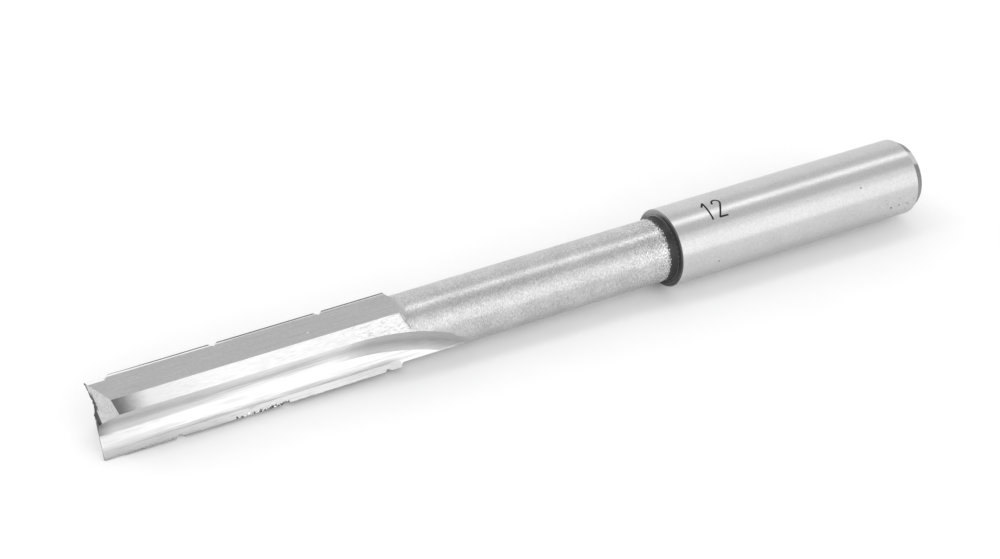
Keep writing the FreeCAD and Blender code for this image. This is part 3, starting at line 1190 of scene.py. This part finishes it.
def shaded(data):
    """Sets the sharp edges, and gives the round faces the normals of their
    true cylinder."""
    mesh = bmesh.new()
    mesh.from_mesh(data)
    for face in mesh.faces:
        face.smooth = True
    for edge in mesh.edges:
        same = len({face.material_index for face in edge.link_faces}) == 1
        crease = len(edge.link_faces) != 2 or edge.calc_face_angle() > CREASE_ANGLE
        edge.smooth = same and not crease
    mesh.to_mesh(data)
    mesh.free()
    round_zones = [ZONES.index("shank"), ZONES.index("neck")]
    normals = [Vector(corner.vector) for corner in data.corner_normals]
    for face in data.polygons:
        if face.material_index in round_zones and abs(face.normal.x) < ROUND_LEAN:
            for loop in face.loop_indices:
                place = data.vertices[data.loops[loop].vertex_index].co
                normals[loop] = Vector((0.0, place.y, place.z)).normalized()
    data.normals_split_custom_set(normals)
    return data


def steel_body():
    """The bit itself: the solid's mesh with the mark, pits and chips cut in,
    and a finish for each of its ground surfaces."""
    cut = in_one_body(cut_away(zoned_solid(), gathered("tools", hollows())))
    data = shaded(gathered("bit_body", [cut, crumbs()]))
    for zone in ZONES:
        data.materials.append(STEELS[zone])
    return new_piece("bit_body", data)


def resting_line(points):
    """The line, seen from the side, that the bit lies on: the edge of the
    points' lower outline that passes under the bit's middle, as the height at
    x = 0 and the slope."""
    lower = []
    for x, z in sorted(set(points)):
        while len(lower) > 1:
            (ax, az), (bx, bz) = lower[-2], lower[-1]
            if (bz - az) * (x - ax) < (z - az) * (bx - ax):
                break
            lower.pop()
        lower.append((x, z))
    middle = (lower[0][0] + lower[-1][0]) / 2
    for (ax, az), (bx, bz) in zip(lower, lower[1:]):
        if ax <= middle <= bx:
            slope = (bz - az) / (bx - ax)
            return az - slope * ax, slope


def table_top(body):
    """A wide pale table, touching the bit where it rests."""
    points = [(round(v.co.x, 6), round(v.co.z, 6)) for v in body.data.vertices]
    height, slope = resting_line(points)
    reach = 4.0
    corners = [(-reach, -reach), (reach, -reach), (reach, reach), (-reach, reach)]
    data = bpy.data.meshes.new("table_top")
    data.from_pydata([(x, y, height + slope * x) for x, y in corners], [], [(0, 1, 2, 3)])
    table = new_piece("table_top", data)
    material = bpy.data.materials.new("white_table")
    material.use_nodes = True
    tree = material.node_tree
    tree.nodes.clear()
    noise = noise_in(tree, even(17 * MM), 2.0)
    tone = mix_colour(tree, noise, grey(0.92), grey(0.95))
    matt = add(tree, "ShaderNodeBsdfDiffuse", {"Color": tone})
    output = add(tree, "ShaderNodeOutputMaterial")
    tree.links.new(matt.outputs[0], output.inputs["Surface"])
    data.materials.append(material)
    return table


def lamp(name, radiance, width, length):
    """A soft rectangular lamp whose face has the given brightness."""
    data = bpy.data.lights.new(name, "AREA")
    data.shape = "RECTANGLE"
    data.size = length
    data.size_y = width
    data.energy = radiance * math.pi * length * width
    box = bpy.data.objects.new(name, data)
    box.visible_camera = False
    bpy.context.scene.collection.objects.link(box)
    return box


def strip_lamp(name, radiance, start, stop, distance):
    """A lamp that lies along the bit, from one angle to another."""
    angle = (start + stop) / 2
    width = 2 * distance * math.tan((stop - start) / 2)
    box = lamp(name, radiance, width, STRIP_LENGTH)
    box.location = ((TIP_X + SHOULDER_X) / 2, distance * sin(angle), distance * cos(angle))
    box.rotation_euler = (-angle, 0.0, 0.0)


def key_lamp(name, radiance, direction, distance, size):
    """A square lamp that shines on the bit from one side."""
    box = lamp(name, radiance, size, size)
    middle = Vector(((TIP_X + SHOULDER_X) / 2, 0.0, 0.0))
    box.location = middle + distance * direction.normalized()
    box.rotation_euler = direction.to_track_quat("Z", "Y").to_euler()


def studio():
    world = bpy.data.worlds.new("studio")
    bpy.context.scene.world = world
    world.use_nodes = True
    sky = world.node_tree.nodes["Background"]
    sky.inputs["Color"].default_value = grey(ROOM_GREY)
    sky.inputs["Strength"].default_value = 1.0
    for strip in STRIP_LAMPS:
        strip_lamp(*strip)
    key_lamp("key", radiance=0.9, direction=KEY_DIRECTION, distance=1.2, size=0.8)


def photographer():
    data = bpy.data.cameras.new("photographer")
    data.lens = CAMERA_LENS
    data.sensor_width = CAMERA_SENSOR
    data.clip_start = 0.01
    data.clip_end = 20.0
    camera = bpy.data.objects.new("photographer", data)
    camera.location = CAMERA_PLACE
    camera.rotation_euler = CAMERA_TURN
    bpy.context.scene.collection.objects.link(camera)
    bpy.context.scene.camera = camera


body = steel_body()
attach(body, "root")
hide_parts(NODE)
table_top(body)
studio()
photographer()
bpy.context.scene.view_settings.view_transform = "Standard"
